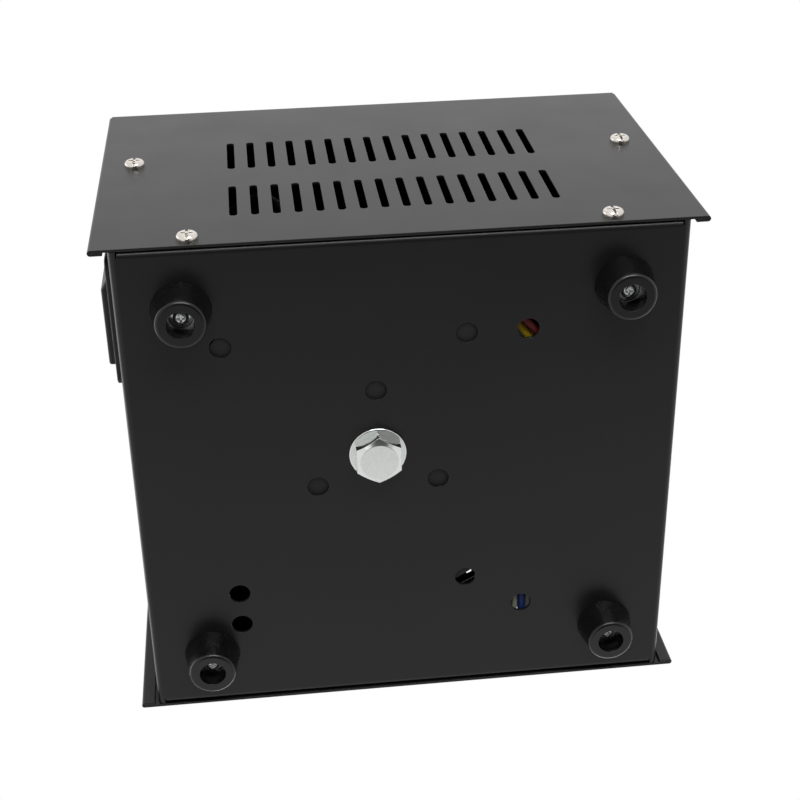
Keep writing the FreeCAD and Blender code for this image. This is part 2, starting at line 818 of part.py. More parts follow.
# Rubber feet, each on a screw through a steel washer in its bore
def feet():
    slope = "atan((foot_base - foot_ground)/2/foot_height)"
    edge_x, edge_z = "(foot_ground/2 - foot_edge)", "foot_edge"
    screw_hole = "foot_screw_thread/2 + clearance_hole_play"
    section = [
        ("foot_bore_mouth/2", "0", None),
        (edge_x, "0", (edge_x, edge_z, True)),
        (f"{edge_x} + foot_edge*cos({slope})", f"foot_edge - foot_edge*sin({slope})", None),
        ("foot_base/2", "foot_height", None),
        (screw_hole, "foot_height", None),
        (screw_hole, "foot_bore_depth", None),
        ("foot_bore_seat/2", "foot_bore_depth", None),
    ]
    rear_right = turned("foot_rear_right", section, FOOT_X, FOOT_Y)
    keep(rear_right)
    keep(mirrored("foot_front_right", rear_right, "y"))
    rear_left = keep(mirrored("foot_rear_left", rear_right, "x"))
    keep(mirrored("foot_front_left", rear_left, "y"))

    seat = "foot_bore_depth - foot_washer_sheet"
    ring = washer(
        "foot_washer",
        "(foot_bore_seat - 2*thread_play)",
        "foot_washer_sheet",
        "foot_screw_thread/2 + clearance_hole_play",
        FOOT_X,
        FOOT_Y,
        seat,
    )
    keep(four_corners("foot_washers", ring))
    screw = pan_screw(
        "foot_screw",
        "foot_screw_thread",
        "foot_screw_head",
        "foot_screw_head_rise",
        "foot_screw_length",
        FOOT_X,
        FOOT_Y,
        seat,
        "down",
    )
    keep(four_corners("foot_screws", screw))
    fixing = nut(
        "foot_nut",
        "foot_nut_width",
        "foot_nut_height",
        "foot_screw_thread/2 + thread_play",
        FOOT_X,
        FOOT_Y,
        PLATE_TOP,
    )
    keep(four_corners("foot_nuts", fixing))


# The hexagon bolt that clamps the transformer
def bevel_hexagon(body, name, width, face, outward):
    """Turns the corners off a hexagon's end face at 30 degrees."""
    rim = f"({width})/sqrt(3) + 1"
    start = f"0.43*({width})"
    drop = f"({rim} - {start})*tan(30)"
    sketch = new_sketch(body, name, "XZ_Plane")
    corners = [
        (start, face, None),
        (rim, face, None),
        (rim, f"({face}) - ({outward})*({drop})", None),
    ]
    loop(sketch, corners)
    groove = body.newObject("PartDesign::Groove", name + "_cut")
    groove.Profile = sketch
    groove.ReferenceAxis = (sketch, ["V_Axis"])
    groove.Angle = 360
    return groove


def center_bolt():
    body = new_body("center_bolt")
    head = new_sketch(body, "bolt_head", "XY_Plane")
    hexagon(head, "bolt_head_width", first_corner=0)
    pad(body, head, "bolt_head_height", reverse=True)
    shank = new_sketch(body, "bolt_shank", "XY_Plane")
    circle(shank, "0", "0", "bolt_thread/2")
    pad(body, shank, f"{BOLT_NUT_TOP} + bolt_end - {BASE} + base_washer_sheet")
    body.Tip = bevel_hexagon(body, "bolt_bevel", "bolt_head_width", "-bolt_head_height", -1)
    place(body, "bolt_x", "bolt_y", f"{BASE} - base_washer_sheet")
    keep(body)

    play = "bolt_thread/2 + clearance_hole_play"
    rim = "0.5"
    section = rounded(
        [
            (play, "0"),
            ("base_washer_size/2", "0", rim),
            ("base_washer_size/2", "base_washer_sheet"),
            (play, "base_washer_sheet"),
        ]
    )
    keep(turned("bolt_washer", section, "bolt_x", "bolt_y", f"{BASE} - base_washer_sheet"))


# Toroidal transformer: a strip-wound core inside two windings and an outer wrap
def ring_section(sketch, depth):
    """The ring's rounded section, drawn in by a depth from the outside of the wrap."""
    inner, outer = f"(toroid_hole/2 + {depth})", f"({TOROID_RADIUS} - ({depth}))"
    low, high = f"({depth})", f"(toroid_height - ({depth}))"
    corner = f"(toroid_corner - ({depth}))"
    corners = [(inner, low), (outer, low), (outer, high), (inner, high)]
    loop(sketch, rounded([(x, z, corner) for x, z in corners]))


def winding(label, outer_depth, inner_depth=None):
    body = new_body(label)
    sketch = new_sketch(body, label + "_section", "XZ_Plane")
    ring_section(sketch, outer_depth)
    if inner_depth is not None:
        ring_section(sketch, inner_depth)
    revolve(body, sketch)
    return keep(place(body, "bolt_x", "bolt_y", TOROID_Z))


def transformer():
    secondary = "(wrap_wall + secondary_wall)"
    core = "(wrap_wall + secondary_wall + primary_wall)"
    winding("transformer_wrap", "0", "wrap_wall")
    winding("secondary_winding", "wrap_wall", secondary)
    winding("primary_winding", secondary, core)
    winding("transformer_core", core)
    pad_x, pad_y = "bolt_x + lower_pad_shift_x", "bolt_y + lower_pad_shift_y"
    keep(
        washer(
            "lower_pad",
            f"2*({TOROID_RADIUS} + lower_pad_margin)",
            "lower_pad_sheet",
            "pad_hole/2",
            pad_x,
            pad_y,
            PLATE_TOP,
        )
    )
    keep(
        washer(
            "upper_pad",
            f"2*({TOROID_RADIUS} - upper_pad_inset)",
            "upper_pad_sheet",
            "toroid_hole/2",
            "bolt_x",
            "bolt_y",
            f"{TOROID_Z} + toroid_height",
        )
    )
    bore = "bolt_thread/2 + clearance_hole_play"
    dish_edge = f"({TOROID_RADIUS} - dish_inset)"
    plate = [
        (bore, "-dish_drop"),
        ("dish_well/2", "-dish_drop"),
        ("dish_well/2 + dish_drop", "0"),
        (dish_edge, "0"),
        (dish_edge, "dish_sheet"),
        ("dish_well/2 + dish_drop", "dish_sheet"),
        ("dish_well/2", "dish_sheet - dish_drop"),
        (bore, "dish_sheet - dish_drop"),
    ]
    keep(turned("clamp_plate", plate, "bolt_x", "bolt_y", DISH_Z))
    keep(
        washer(
            "top_washer", "top_washer_size", "top_washer_sheet", bore, "bolt_x", "bolt_y", WELL_Z
        )
    )
    spring = washer(
        "spring_washer",
        "spring_washer_size",
        "spring_washer_sheet",
        bore,
        "bolt_x",
        "bolt_y",
        f"{WELL_Z} + top_washer_sheet",
    )
    split = new_sketch(spring, "spring_split", "XY_Plane", "spring_washer_sheet/2")
    rectangle(split, "spring_washer_size/2", "0", "spring_washer_size", "spring_washer_sheet/2")
    spring.Tip = pocket(spring, split, "2*spring_washer_sheet")
    keep(spring)
    top = nut(
        "bolt_nut",
        "bolt_head_width",
        "bolt_nut_height",
        "bolt_thread/2 + thread_play",
        "bolt_x",
        "bolt_y",
        f"{BOLT_NUT_TOP} - bolt_nut_height",
    )
    top.Tip = bevel_hexagon(top, "nut_bevel", "bolt_head_width", "bolt_nut_height", 1)
    keep(top)


# Panel-mounted parts are drawn facing -Y about a point on their panel's face
def face_panel(body, x, z, rear=False):
    if rear:
        body.Placement = FreeCAD.Placement(V(), FreeCAD.Rotation(V(0, 0, 1), 180))
    return place(body, x, PANEL_FACE if rear else f"-{PANEL_FACE}", z)


def front_edges(feature, level, wanted=lambda edge: True, ends=all):
    """Names of the feature's edges that lie in the plane local y = level, or that only touch
    it where ends is any."""
    doc.recompute()
    names = []
    for i, edge in enumerate(feature.Shape.Edges, start=1):
        met = ends(abs(vertex.Point.y - level) < 1e-4 for vertex in edge.Vertexes)
        if met and wanted(edge):
            names.append(f"Edge{i}")
    return names


def soften(body, feature, level, radius, ends=all):
    fillet = body.newObject("PartDesign::Fillet", feature.Name + "_soft")
    fillet.Base = (feature, front_edges(feature, number(level), ends=ends))
    fillet.setExpression("Radius", bound(radius))
    return fillet


def screw_ears(body, name, flange, places):
    """Screw holes through a flange, countersunk at its face."""
    bore = "(trim_screw_thread/2 + clearance_hole_play)"
    sketch = new_sketch(body, f"{name}_ears", "XZ_Plane")
    for x, z in places:
        circle(sketch, x, z, bore)
    holes = pocket(body, sketch, f"3*{flange}")

    def is_bore(edge):
        return isinstance(edge.Curve, Part.Circle) and abs(edge.Curve.Radius - number(bore)) < 1e-6

    sink = body.newObject("PartDesign::Chamfer", f"{name}_sink")
    sink.Base = (holes, front_edges(holes, -number(flange), is_bore))
    sink.setExpression("Size", bound("(trim_screw_head - trim_screw_thread)/2"))
    body.Tip = sink


POLES = (
    ("left", "-pole_spread", "-pole_drop"),
    ("right", "pole_spread", "-pole_drop"),
    ("earth", "0", "earth_lift"),
)


def outlet(name, z):
    body = new_body(f"{name}_outlet")
    flange = new_sketch(body, f"{name}_flange", "XZ_Plane")
    wide, tall = "outlet_flange_width", "outlet_flange_height"
    rectangle(flange, "outlet_flange_shift", "0", wide, tall, "outlet_corner")
    plate = pad(body, flange, "outlet_flange_sheet")
    soften(body, plate, "-outlet_flange_sheet", "0.3*outlet_flange_sheet")
    block = new_sketch(body, f"{name}_face", "XY_Plane")
    side, front = "outlet_face/2", "-outlet_face_rise"
    outline = [
        (f"-{side}", "0"),
        (f"-{side}", front),
        (side, front),
        (f"{side} + outlet_slope", "-outlet_flange_sheet"),
        (f"{side} + outlet_slope", "0"),
    ]
    loop(block, [(x, y, None) for x, y in outline])
    raised = pad(body, block, "outlet_face", symmetric=True)
    soften(body, raised, front, "0.3*outlet_corner", ends=any)
    behind = new_sketch(body, f"{name}_rear", "XZ_Plane")
    size = "(outlet_face - outlet_rear_play)"
    rectangle(behind, "0", "0", size, size)
    pad(body, behind, "outlet_depth", reverse=True)
    bores = new_sketch(body, f"{name}_bores", "XZ_Plane", "outlet_face_rise")
    blades = new_sketch(body, f"{name}_blades", "XZ_Plane", "outlet_face_rise")
    tabs = new_sketch(body, f"{name}_tabs", "XZ_Plane", "-outlet_depth")
    for pole, px, pz in POLES:
        circle(bores, px, pz, "pole_bore/2")
        wide, tall = "blade_slot_length", "blade_slot_width"
        if pole == "earth":
            wide, tall = tall, wide
        rectangle(blades, px, pz, wide, tall)
        rectangle(tabs, px, pz, "tab_width + thread_play", "tab_sheet + thread_play")
    pocket(body, bores, "pole_depth", symmetric=False)
    pocket(body, blades, "pole_depth", symmetric=False)
    wall = "outlet_depth + outlet_face_rise - pole_depth"
    pocket(body, tabs, wall, symmetric=False, reverse=True)
    ears = [("outlet_flange_shift", f"({s})*outlet_screw_spread") for s in (1, -1)]
    screw_ears(body, name, "outlet_flange_sheet", ears)
    keep(face_panel(body, OUTLET_X, z))

    contacts = []
    floor = "(pole_depth - outlet_face_rise)"
    for pole, px, pz in POLES:
        contact = new_body(f"{name}_{pole}_contact")
        cup = new_sketch(contact, f"{name}_{pole}_cup", "XZ_Plane", f"-{floor}")
        circle(cup, px, pz, "pole_bore/2 - thread_play")
        pad(contact, cup, "contact_length")
        hollow = new_sketch(contact, f"{name}_{pole}_hollow", "XZ_Plane", f"contact_length - {floor}")
        circle(hollow, px, pz, "pole_bore/2 - thread_play - contact_wall")
        pocket(contact, hollow, "contact_length - contact_wall", symmetric=False)
        tab = new_sketch(contact, f"{name}_{pole}_tab", "XZ_Plane", f"-{floor}")
        rectangle(tab, px, pz, "tab_width", "tab_sheet")
        pad(contact, tab, f"{wall} + tab_reach", reverse=True)
        contacts.append(face_panel(contact, OUTLET_X, z))
    keep(group(f"{name}_outlet_contacts", contacts))


def outlets():
    for name, z in zip(("lower", "upper"), OUTLET_LEVELS):
        outlet(name, z)
    screws, nuts = [], []
    for i, z in enumerate(OUTLET_LEVELS):
        for j, s in enumerate((1, -1)):
            place_x, level = OUTLET_SCREW_X, f"{z} + ({s})*outlet_screw_spread"
            label = f"outlet_screw_{i}{j}"
            screws.append(trim_screw(label, place_x, level, "outlet_flange_sheet"))
            nuts.append(trim_nut(f"outlet_nut_{i}{j}", place_x, level))
    keep(group("outlet_screws", screws))
    keep(group("outlet_nuts", nuts))


def trim_screw(label, x, z, flange, rear=False):
    face = f"({PANEL_FACE} + {flange})"
    return sunk_screw(
        label,
        "trim_screw_thread",
        "trim_screw_head",
        "trim_screw_length",
        x,
        face if rear else f"-{face}",
        z,
        "rear" if rear else "front",
    )


def trim_nut(label, x, z, rear=False):
    return nut(
        label,
        "trim_nut_width",
        "trim_nut_height",
        "trim_screw_thread/2 + thread_play",
        x,
        PANEL_INSIDE if rear else f"-{PANEL_INSIDE}",
        z,
        "front" if rear else "rear",
    )


# Power switch: a rocker on two moulded pins in its housing
def power_switch():
    housing = new_body("switch_housing")
    bezel = new_sketch(housing, "bezel", "XZ_Plane")
    rectangle(bezel, "0", "0", "bezel_width", "bezel_height", "bezel_corner")
    rim = pad(housing, bezel, "bezel_sheet")
    soften(housing, rim, "-bezel_sheet", "0.4*bezel_sheet")
    box = new_sketch(housing, "switch_box", "XZ_Plane")
    rectangle(box, "0", "0", "switch_body_width", "switch_body_height")
    pad(housing, box, "switch_depth", reverse=True)
    well = new_sketch(housing, "rocker_opening", "XZ_Plane", "bezel_sheet")
    well_width = "(rocker_width + 2*rocker_play)"
    rectangle(well, "0", "0", well_width, "rocker_length + 2*rocker_end_play")
    pocket(housing, well, "rocker_well", symmetric=False)
    sockets = new_sketch(housing, "pivot_sockets", "YZ_Plane")
    circle(sockets, "pivot_depth - bezel_sheet", "0", "pivot_size/2 + pivot_play")
    housing.Tip = pocket(housing, sockets, f"{well_width} + 2*pivot_reach")
    keep(face_panel(housing, CONTROLS_X, SWITCH_Z))

    rocker = new_body("switch_rocker")
    side = new_sketch(rocker, "rocker_side", "YZ_Plane")
    half = "rocker_length/2"
    outline = [
        ("-rocker_crown", f"-{half}"),
        ("0.3*rocker_keel", f"-{half}"),
        ("rocker_keel", "-0.15*rocker_length"),
        ("rocker_keel", "0.15*rocker_length"),
        ("0.3*rocker_keel", half),
        ("-rocker_crown", half),
        ("-rocker_waist", "0"),
    ]
    loop(side, [(y, z, None) for y, z in outline])
    pad(rocker, side, "rocker_width", symmetric=True)
    pins = new_sketch(rocker, "rocker_pins", "YZ_Plane")
    circle(pins, "0", "0", "pivot_size/2")
    rocker.Tip = pad(rocker, pins, "rocker_width + 2*pivot_reach", symmetric=True)
    tilt = FreeCAD.Rotation(V(1, 0, 0), number("rocker_tilt"))
    rocker.Placement = FreeCAD.Placement(V(), tilt)
    rocker.setExpression(".Placement.Rotation.Angle", bound("rocker_tilt"))
    place(rocker, CONTROLS_X, f"-{PANEL_FACE} + pivot_depth - bezel_sheet", SWITCH_Z)
    keep(rocker)

    tabs = new_body("switch_terminal")
    outline = new_sketch(tabs, "switch_tab", "XZ_Plane", "-switch_depth")
    rectangle(outline, "switch_body_width/4", "switch_body_height/4", "tab_sheet", "tab_width")
    pad(tabs, outline, "tab_reach", reverse=True)
    pair = mirrored("switch_terminal_left", tabs, "x")
    row = group("switch_terminal_row", [tabs, pair])
    lower = mirrored("switch_terminal_lower", row, "z")
    both = group("switch_terminals", [row, lower])
    keep(face_panel(both, CONTROLS_X, SWITCH_Z))


# Push-to-reset breaker
def breaker():
    body = new_body("breaker_body")
    neck = new_sketch(body, "breaker_neck", "XZ_Plane", "-chassis_sheet")
    circle(neck, "0", "0", "neck_size/2")
    pad(body, neck, "chassis_sheet + neck_reach")
    box = new_sketch(body, "breaker_box", "XZ_Plane", "-chassis_sheet")
    rectangle(box, "0", "0", "breaker_width", "breaker_height")
    pad(body, box, "breaker_depth", reverse=True)
    bore = new_sketch(body, "button_bore", "XZ_Plane", "neck_reach")
    circle(bore, "0", "0", "button_size/2 + button_play")
    body.Tip = pocket(body, bore, "button_bore_depth", symmetric=False)
    keep(face_panel(body, CONTROLS_X, BREAKER_Z))

    head = "(neck_reach + button_reach)"
    foot = "(neck_reach - button_bore_depth + button_end_play)"
    section = rounded(
        [
            ("0", foot),
            ("button_size/2", foot),
            ("button_size/2", head, "0.3*button_reach"),
            ("0", head),
        ]
    )
    keep(turned("reset_button", section, CONTROLS_X, f"-{PANEL_FACE}", BREAKER_Z, "front"))
    ring = nut(
        "breaker_ring_nut",
        "ring_nut_width",
        "ring_nut_height",
        "neck_size/2 + thread_play",
        CONTROLS_X,
        f"-{PANEL_FACE}",
        BREAKER_Z,
        "front",
    )
    keep(ring)
    tab = new_body("breaker_terminal")
    outline = new_sketch(tab, "breaker_tab", "XZ_Plane", "-(chassis_sheet + breaker_depth)")
    rectangle(outline, "0", "breaker_height/4", "tab_width", "tab_sheet")
    pad(tab, outline, "tab_reach", reverse=True)
    lower = mirrored("breaker_terminal_lower", tab, "z")
    keep(face_panel(group("breaker_terminals", [tab, lower]), CONTROLS_X, BREAKER_Z))


# Power inlet in the rear panel
BLADES = (
    ("left", "-blade_spread", "-blade_row"),
    ("right", "blade_spread", "-blade_row"),
    ("earth", "0", "blade_row"),
)


def inlet():
    body = new_body("inlet_body")
    flange = new_sketch(body, "inlet_flange", "XZ_Plane")
    rectangle(flange, "0", "0", "inlet_flange_width", "inlet_flange_height", "inlet_corner")
    plate = pad(body, flange, "inlet_flange_sheet")
    soften(body, plate, "-inlet_flange_sheet", "0.3*inlet_flange_sheet")
    box = new_sketch(body, "inlet_box", "XZ_Plane")
    rectangle(box, "0", "0", "inlet_body_width", "inlet_body_height")
    pad(body, box, "inlet_depth", reverse=True)
    recess = new_sketch(body, "inlet_recess", "XZ_Plane", "inlet_flange_sheet")
    wide, tall, cut = "inlet_recess_width/2", "inlet_recess_height/2", "inlet_recess_corner"
    outline = [
        (f"-{wide}", f"-{tall}"),
        (wide, f"-{tall}"),
        (wide, f"{tall} - {cut}"),
        (f"{wide} - {cut}", tall),
        (f"-{wide} + {cut}", tall),
        (f"-{wide}", f"{tall} - {cut}"),
    ]
    loop(recess, [(x, z, None) for x, z in outline])
    pocket(body, recess, "inlet_recess_depth", symmetric=False)
    slots = new_sketch(body, "inlet_slots", "XZ_Plane", "inlet_flange_sheet")
    for name, x, z in BLADES:
        rectangle(slots, x, z, "blade_width + thread_play", "blade_sheet + thread_play")
    pocket(body, slots, "inlet_flange_sheet + inlet_depth", symmetric=False)
    ears = [(f"({s})*inlet_screw_spread", "0") for s in (1, -1)]
    screw_ears(body, "inlet", "inlet_flange_sheet", ears)
    keep(face_panel(body, INLET_X, INLET_Z, rear=True))

    blades = []
    tip = "(inlet_flange_sheet - inlet_recess_depth + blade_length)"
    for name, x, z in BLADES:
        blade = new_body(f"{name}_inlet_blade")
        outline = new_sketch(blade, f"{name}_blade", "XZ_Plane", tip)
        rectangle(outline, x, z, "blade_width", "blade_sheet")
        pad(blade, outline, f"{tip} + inlet_depth + tab_reach", reverse=True)
        blades.append(face_panel(blade, INLET_X, INLET_Z, rear=True))
    keep(group("inlet_blades", blades))
    screws, nuts = [], []
    for j, s in enumerate((1, -1)):
        x = f"{INLET_X} + ({s})*inlet_screw_spread"
        screws.append(trim_screw(f"inlet_screw_{j}", x, INLET_Z, "inlet_flange_sheet", rear=True))
        nuts.append(trim_nut(f"inlet_nut_{j}", x, INLET_Z, rear=True))
    keep(group("inlet_screws", screws))
    keep(group("inlet_nuts", nuts))


# Earth stud beside the inlet
def earth_stud():
    keep(
        pan_screw(
            "earth_screw",
            "earth_thread",
            "earth_head",
            "earth_head_rise",
            "earth_length",
            EARTH_X,
            PANEL_FACE,
            EARTH_Z,
            "rear",
        )
    )
    inside = PANEL_INSIDE
    bore = "earth_thread/2 + thread_play"
    keep(
        washer(
            "earth_washer",
            "earth_washer_size",
            "earth_washer_sheet",
            bore,
            EARTH_X,
            inside,
            EARTH_Z,
            "front",
        )
    )
    keep(
        nut(
            "earth_nut",
            "earth_nut_width",
            "earth_nut_height",
            bore,
            EARTH_X,
            f"{inside} - earth_washer_sheet",
            EARTH_Z,
            "front",
        )
    )


# Push-on receptacles and leads. Each receptacle's own +Z points away from its tab.
def receptacle(label, width, thickness, lead, x, y, z, turn):
    body = new_body(label)
    grip = new_sketch(body, label + "_grip", "XY_Plane")
    skin = "2*receptacle_wall"
    rectangle(grip, "0", "0", f"{width} + {skin}", f"{thickness} + {skin}", "receptacle_wall")
    rectangle(grip, "0", "0", f"{width} + thread_play", f"{thickness} + thread_play")
    pad(body, grip, "receptacle_grip")
    barrel = new_sketch(body, label + "_barrel", "XY_Plane", "receptacle_grip")
    circle(barrel, "0", "0", f"{lead}/2 + thread_play + barrel_wall")
    pad(body, barrel, "barrel_length")
    bore = new_sketch(body, label + "_bore", "XY_Plane", "receptacle_grip + barrel_length")
    circle(bore, "0", "0", f"{lead}/2 + thread_play")
    body.Tip = pocket(body, bore, "barrel_depth", symmetric=False)
    body.Placement = FreeCAD.Placement(V(), turn)
    return place(body, x, y, z)


# Turns that lay a receptacle's width along X or Z and its axis along Y
REARWARD_FLAT = FreeCAD.Rotation(V(1, 0, 0), -90)
FORWARD_FLAT = FreeCAD.Rotation(V(1, 0, 0), 90)
REARWARD_UPRIGHT = REARWARD_FLAT * FreeCAD.Rotation(V(0, 0, 1), 90)

REACH = "(receptacle_grip + barrel_length - barrel_depth)"
OUTLET_TAB_ROOT = f"({PANEL_FACE} - outlet_depth)"
SWITCH_TAB_ROOT = f"({PANEL_FACE} - switch_depth)"
BREAKER_TAB_ROOT = f"({PANEL_INSIDE} - breaker_depth)"
INLET_TAB_ROOT = f"({PANEL_FACE} - inlet_depth)"


def tube(label, points, size):
    """A lead of a diameter along straight runs joined by tangent arcs. Points are V."""
    edges = []
    start = points[0]
    radii = []
    for before, corner, after in zip(points, points[1:], points[2:]):
        incoming, outgoing = corner - before, after - corner
        turn = incoming.getAngle(outgoing)
        trim = BEND_SHARE * min(incoming.Length, outgoing.Length)
        first = corner - incoming.normalize() * trim
        last = corner + outgoing.normalize() * trim
        radius = trim / math.tan(turn / 2)
        inward = (outgoing - incoming).normalize()
        middle = corner + inward * (radius / math.cos(turn / 2) - radius)
        edges.append(Part.LineSegment(start, first).toShape())
        edges.append(Part.Arc(first, middle, last).toShape())
        start = last
        radii.append(round(radius, 1))
    edges.append(Part.LineSegment(start, points[-1]).toShape())
    path = Part.Wire(edges)
    ring = Part.Wire(Part.Circle(points[0], points[1] - points[0], size / 2).toShape())
    feature = doc.addObject("Part::Feature", label)
    feature.Shape = path.makePipeShell([ring], True, False)
    feature.Placement = FreeCAD.Placement()
    expected = math.pi * size**2 / 4 * path.Length
    share = feature.Shape.Volume / expected
    print(f"{label}: length {path.Length:.0f}, volume {share:.4f} of its own, radii {radii}")
    return feature


BEND_SHARE = 0.45


def at(x, y, z):
    return V(number(x), number(y), number(z))


# Where a lead leaves the transformer's outer wall, square to it, and the end of that first run
def out_of_winding(angle, height, run):
    out = V(math.cos(math.radians(angle)), math.sin(math.radians(angle)), 0)
    wall = at("bolt_x", "bolt_y", "0") + out * (number(TOROID_RADIUS) + WALL_GAP)
    wall.z = height
    return [wall, wall + out * run]


WALL_GAP = 0.1
LEAD_STUB = 7.5


def wiring():
    heavy, light = "heavy_lead_size", "light_lead_size"
    tab, blade = ("tab_width", "tab_sheet"), ("blade_width", "blade_sheet")
    low, high = OUTLET_LEVELS
    receptacles = []

    def push_on(name, sides, lead, x, root, z, turn):
        """Adds a receptacle on a tab, and gives the last two points of its lead."""
        receptacles.append(receptacle(f"{name}_receptacle", *sides, lead, x, root, z, turn))
        ahead = turn.multVec(V(0, 0, 1))
        end = at(x, root, z) + ahead * number(REACH)
        return [end + ahead * LEAD_STUB, end]

    def lead(name, points, size):
        keep(tube(f"{name}_lead", points, number(size)))

    def on_inlet(name, x, z, size):
        place_x, place_z = f"{INLET_X} + {x}", f"{INLET_Z} + {z}"
        ends = push_on(name, blade, size, place_x, INLET_TAB_ROOT, place_z, FORWARD_FLAT)
        return ends[::-1]

    def on_outlet(name, x, z, size):
        place_x, root = f"{OUTLET_X} + {x}", f"-{OUTLET_TAB_ROOT}"
        return push_on(name, tab, size, place_x, root, z, REARWARD_FLAT)

    def on_switch(name, x):
        place_x, root = f"{CONTROLS_X} + {x}*switch_body_width/4", f"-{SWITCH_TAB_ROOT}"
        z = f"{SWITCH_Z} - switch_body_height/4"
        return push_on(name, tab, light, place_x, root, z, REARWARD_UPRIGHT)

    def on_breaker(name, side):
        z, root = f"{BREAKER_Z} + {side}*breaker_height/4", f"-{BREAKER_TAB_ROOT}"
        return push_on(name, tab, light, CONTROLS_X, root, z, REARWARD_FLAT)

    # Inlet to the lower outlet: behind the transformer, over the pad's edge and along the right side
    yellow = [
        *on_inlet("inlet_earth", "0", "blade_row", heavy),
        V(-40, 48, 47),
        V(-24, 56, 34),
        V(-6, 71, 22),
        V(16, 78, 19.2),
        V(38, 62.3, 19),
        V(72, 31.9, 19),
        V(86, 15, 17),
        V(90.5, -14, 16.6),
        V(89, -42, 18),
        V(82, -58, 31),
        V(73, -61.5, 45),
        V(66, -66, 50.4),
        *on_outlet("outlet_earth", "0", f"{low} + earth_lift", heavy),
    ]
    lead("yellow", yellow, heavy)
    red = [
        *on_inlet("inlet_right", "blade_spread", "(-blade_row)", heavy),
        V(-40, 53, 42),
        V(-27, 60, 32),
        V(-8, 77.5, 20),
        V(14, 83, 16.3),
        V(40, 65.6, 16.2),
        V(76, 33.9, 16.1),
        V(92, 11, 16.1),
        V(94.8, -20, 16.2),
        V(94, -48, 18),
        V(89.5, -65, 27),
        V(81, -66.5, 36),
        V(74.5, -68, 40.5),
        *on_outlet("outlet_right", "pole_spread", f"{low} - pole_drop", heavy),
    ]
    lead("red", red, heavy)

    # Transformer to the breaker and the switch: along the left side, next to each other
    white = [
        *out_of_winding(141, 34, 8),
        V(-57, 43.2, 17),
        V(-72, 43.4, 15.8),
        V(-82, 32, 15.7),
        V(-84, 6, 15.8),
        V(-83, -24, 17),
        V(-82, -44, 30),
        V(-76, -52, 52),
        V(-65, -54, 68),
        V(-54, -55, 71),
        *on_breaker("breaker_lower", "(-1)"),
    ]
    lead("white", white, light)
    blue = [
        *out_of_winding(136.5, 31, 8),
        V(-55, 46.2, 16.2),
        V(-74, 46.4, 15.7),
        V(-85, 33, 15.8),
        V(-87, 6, 15.7),
        V(-86.5, -26, 17),
        V(-87, -46, 36),
        V(-85, -53, 66),
        V(-76, -54, 92),
        V(-64, -56, 108),
        *on_switch("switch_left", "(-1)"),
    ]
    lead("blue", blue, light)
    grey = [
        *out_of_winding(132, 33, 8),
        V(-53, 49.1, 16.8),
        V(-76, 49.3, 15.8),
        V(-88.2, 34, 15.7),
        V(-90, 6, 15.8),
        V(-90, -28, 17),
        V(-91, -50, 36),
        V(-90, -60, 66),
        V(-82, -62, 98),
        V(-66, -56, 116),
        V(-50, -54, 114),
        *on_switch("switch_right", "1"),
    ]
    lead("grey", grey, light)

    # Inlet to the breaker, halfway up the left side
    line = [
        *on_inlet("inlet_left", "(-blade_spread)", "(-blade_row)", light),
        V(-68, 42, 50),
        V(-84, 20, 55),
        V(-92, -10, 60),
        V(-92, -38, 66),
        V(-84, -56.8, 80.5),
        V(-70, -58, 86.5),
        V(-58, -55, 88),
        *on_breaker("breaker_upper", "1"),
    ]
    lead("line", line, light)

    # Transformer to the upper outlet
    right_supply = [
        *out_of_winding(-20, 69, 12),
        V(91, -48, 87),
        V(82, -58, 99),
        *on_outlet("supply_right", "pole_spread", f"{high} - pole_drop", light),
    ]
    lead("right_supply", right_supply, light)
    left_supply = [
        *out_of_winding(-31, 70, 12),
        V(80, -61, 88),
        V(66, -62, 100),
        *on_outlet("supply_left", "(-pole_spread)", f"{high} - pole_drop", light),
    ]
    lead("left_supply", left_supply, light)
    keep(group("lead_receptacles", receptacles))


# Heights on the panels and up the bolt
OUTLET_LEVELS = (
    f"({BASE} + outlet_low_rise)",
    f"({BASE} + outlet_low_rise + outlet_step)",
)
SWITCH_Z = f"({BASE} + switch_rise)"
BREAKER_Z = f"({BASE} + breaker_rise)"
INLET_Z = f"({BASE} + inlet_rise)"
EARTH_Z = f"({BASE} + earth_rise)"
TOROID_Z = f"({PLATE_TOP} + lower_pad_sheet)"
DISH_Z = f"({TOROID_Z} + toroid_height + upper_pad_sheet)"
WELL_Z = f"({DISH_Z} - dish_drop + dish_sheet)"
BOLT_NUT_TOP = f"({WELL_Z} + top_washer_sheet + spring_washer_sheet + bolt_nut_height)"

# Punched holes: three on a ring about the bolt, seven in rows for other transformers
PUNCHED = [
    (f"bolt_x + punch_ring*cos({angle})", f"bolt_y + punch_ring*sin({angle})")
    for angle in (0, 120, 240)
] + [
    ("punch_right_x", "punch_front_y"),
    ("punch_right_x", "punch_inner_y"),
    ("punch_right_x", "punch_rear_y"),
    ("punch_left_x", "punch_front_y"),
    ("punch_left_x", "punch_inner_y"),
    ("punch_far_x", "punch_front_y"),
    ("punch_far_x", "punch_rear_y"),
]

chassis()
cover()
cover_fasteners()
feet()
center_bolt()
transformer()
outlets()
power_switch()
breaker()
inlet()
earth_stud()
wiring()
doc.recompute()


# Checks and export
def check():
    for item in doc.Objects:
        bad = [state for state in item.State if state in ("Invalid", "Error")]
        if bad:
            raise RuntimeError(f"{item.Name} ({item.Label}) is {item.State}")
    for node in NODES:
        if node.Shape.isNull() or not node.Shape.isValid() or not node.Shape.Solids:
            raise RuntimeError(f"{node.Label} has no sound shape")


check()
os.makedirs("parts", exist_ok=True)
for node in NODES:
    node.Shape.exportStep(f"parts/{node.Label}.step")
print(len(NODES), "nodes,", sum(len(node.Shape.Solids) for node in NODES), "solids")
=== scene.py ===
import json
from math import cos, pi, radians, tau

